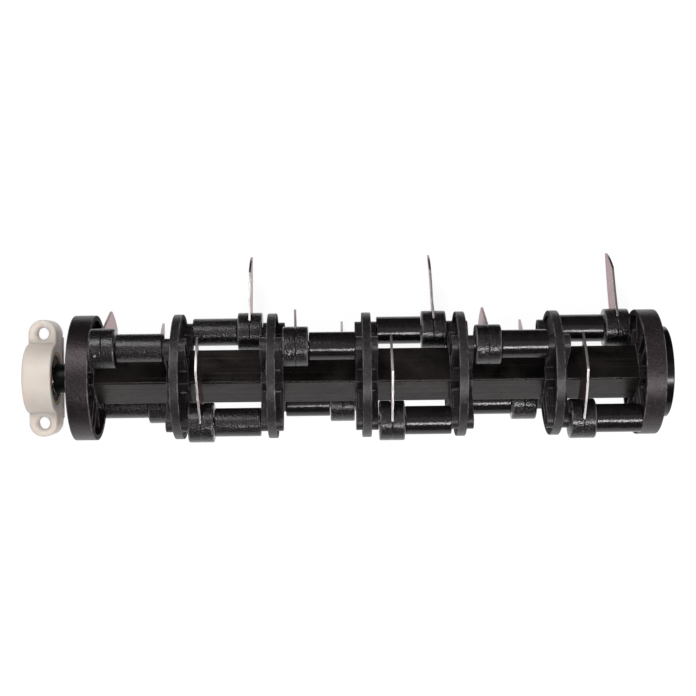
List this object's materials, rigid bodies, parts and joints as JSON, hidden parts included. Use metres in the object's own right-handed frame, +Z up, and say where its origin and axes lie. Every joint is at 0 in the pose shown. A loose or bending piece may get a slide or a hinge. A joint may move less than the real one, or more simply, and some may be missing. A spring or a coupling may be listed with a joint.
{
  "type": "lawn scarifier knife roller",
  "caption": "Knife roller of a cordless lawn scarifier: a square core with discs, free-swinging steel tines on axle pins, a ball bearing in a screw-on bracket and a keyed drive end.",
  "frame": {"origin": "middle of the bearing bracket's flat mounting face, straight below the roller's axis", "axes": "+X along the roller from the bracket to the drive end, +Z up, away from the mounting face, +Y across, towards the side on which the tines' tips lie"},
  "size_m": [0.3833, 0.1127, 0.0784],
  "materials": {
    "ivory_nylon": "satin",
    "disc_plastic": "fine grain",
    "hub_plastic": "satin gloss",
    "gloss_black_plastic": "gloss",
    "core_paint": "satin",
    "black_steel": "black oxide",
    "knife_steel": "rolled",
    "pin_steel": "ground",
    "bearing_steel": "polished",
    "cage_steel": "pressed",
    "seal_rubber": "matt"
  },
  "bodies": {
    "bracket": {"bearing_bracket": "ivory_nylon", "bearing_outer_ring": "bearing_steel", "bearing_seals": "seal_rubber"},
    "ball_train": {"bearing_cage": "cage_steel", "bearing_balls": "bearing_steel"},
    "roller": {"bearing_inner_ring": "bearing_steel", "bearing_circlip": "black_steel", "bearing_journal": "black_steel", "core_tube": "core_paint", "journal_pin": "pin_steel", "insert_pin": "pin_steel", "end_disc_left": "disc_plastic", "disc_1": "disc_plastic", "disc_2": "disc_plastic", "disc_3": "disc_plastic", "disc_4": "disc_plastic", "disc_5": "disc_plastic", "end_disc_right": "disc_plastic", "drive_insert": "pin_steel", "drive_collar": "gloss_black_plastic", "axle_pins": "pin_steel", "spacer_1": "hub_plastic", "spacer_2": "hub_plastic", "spacer_3": "hub_plastic", "spacer_4": "hub_plastic", "spacer_5": "hub_plastic", "spacer_6": "hub_plastic", "spacer_7": "hub_plastic", "spacer_8": "hub_plastic", "spacer_9": "hub_plastic", "spacer_10": "hub_plastic", "spacer_11": "hub_plastic", "spacer_12": "hub_plastic"},
    "tine_1": {"tine_hub_1": "hub_plastic", "knife_1": "knife_steel"},
    "tine_2": {"tine_hub_2": "hub_plastic", "knife_2": "knife_steel"},
    "tine_3": {"tine_hub_3": "hub_plastic", "knife_3": "knife_steel"},
    "tine_4": {"tine_hub_4": "hub_plastic", "knife_4": "knife_steel"},
    "tine_5": {"tine_hub_5": "hub_plastic", "knife_5": "knife_steel"},
    "tine_6": {"tine_hub_6": "hub_plastic", "knife_6": "knife_steel"},
    "tine_7": {"tine_hub_7": "hub_plastic", "knife_7": "knife_steel"},
    "tine_8": {"tine_hub_8": "hub_plastic", "knife_8": "knife_steel"},
    "tine_9": {"tine_hub_9": "hub_plastic", "knife_9": "knife_steel"},
    "tine_10": {"tine_hub_10": "hub_plastic", "knife_10": "knife_steel"},
    "tine_11": {"tine_hub_11": "hub_plastic", "knife_11": "knife_steel"},
    "tine_12": {"tine_hub_12": "hub_plastic", "knife_12": "knife_steel"}
  },
  "joints": [
    {"name": "roller_spin", "type": "hinge", "parent": "bracket", "child": "roller", "pos_m": [0, 0, 0.021], "axis": [1, 0, 0], "continuous": true},
    {"name": "ball_train_spin", "type": "hinge", "parent": "bracket", "child": "ball_train", "pos_m": [0.00305, 0, 0.021], "axis": [1, 0, 0], "continuous": true},
    {"name": "tine_1_swing", "type": "hinge", "parent": "roller", "child": "tine_1", "pos_m": [0.0412, 0.01743, 0.04784], "axis": [-1, 0, 0], "range_deg": [-249.1, 0]},
    {"name": "tine_2_swing", "type": "hinge", "parent": "roller", "child": "tine_2", "pos_m": [0.0683, -0.01743, -0.00584], "axis": [-1, 0, 0], "range_deg": [-4.7, 244.4]},
    {"name": "tine_3_swing", "type": "hinge", "parent": "roller", "child": "tine_3", "pos_m": [0.0972, -0.02684, 0.03843], "axis": [-1, 0, 0], "range_deg": [-249.1, 0]},
    {"name": "tine_4_swing", "type": "hinge", "parent": "roller", "child": "tine_4", "pos_m": [0.1243, 0.02684, 0.00357], "axis": [-1, 0, 0], "range_deg": [-105.7, 143.4]},
    {"name": "tine_5_swing", "type": "hinge", "parent": "roller", "child": "tine_5", "pos_m": [0.1532, 0.01743, 0.04784], "axis": [-1, 0, 0], "range_deg": [-249.1, 0]},
    {"name": "tine_6_swing", "type": "hinge", "parent": "roller", "child": "tine_6", "pos_m": [0.1803, -0.01743, -0.00584], "axis": [-1, 0, 0], "range_deg": [-4.7, 244.4]},
    {"name": "tine_7_swing", "type": "hinge", "parent": "roller", "child": "tine_7", "pos_m": [0.2092, -0.02684, 0.03843], "axis": [-1, 0, 0], "range_deg": [-249.1, 0]},
    {"name": "tine_8_swing", "type": "hinge", "parent": "roller", "child": "tine_8", "pos_m": [0.2363, 0.02684, 0.00357], "axis": [-1, 0, 0], "range_deg": [-105.7, 143.4]},
    {"name": "tine_9_swing", "type": "hinge", "parent": "roller", "child": "tine_9", "pos_m": [0.2652, 0.01743, 0.04784], "axis": [-1, 0, 0], "range_deg": [-249.1, 0]},
    {"name": "tine_10_swing", "type": "hinge", "parent": "roller", "child": "tine_10", "pos_m": [0.2923, -0.01743, -0.00584], "axis": [-1, 0, 0], "range_deg": [-4.7, 244.4]},
    {"name": "tine_11_swing", "type": "hinge", "parent": "roller", "child": "tine_11", "pos_m": [0.3212, -0.02684, 0.03843], "axis": [-1, 0, 0], "range_deg": [-249.1, 0]},
    {"name": "tine_12_swing", "type": "hinge", "parent": "roller", "child": "tine_12", "pos_m": [0.3483, 0.02684, 0.00357], "axis": [-1, 0, 0], "range_deg": [-105.7, 143.4]}
  ],
  "couplings": [
    {"joint": "ball_train_spin", "follows": "roller_spin", "ratio": 0.3648}
  ]
}
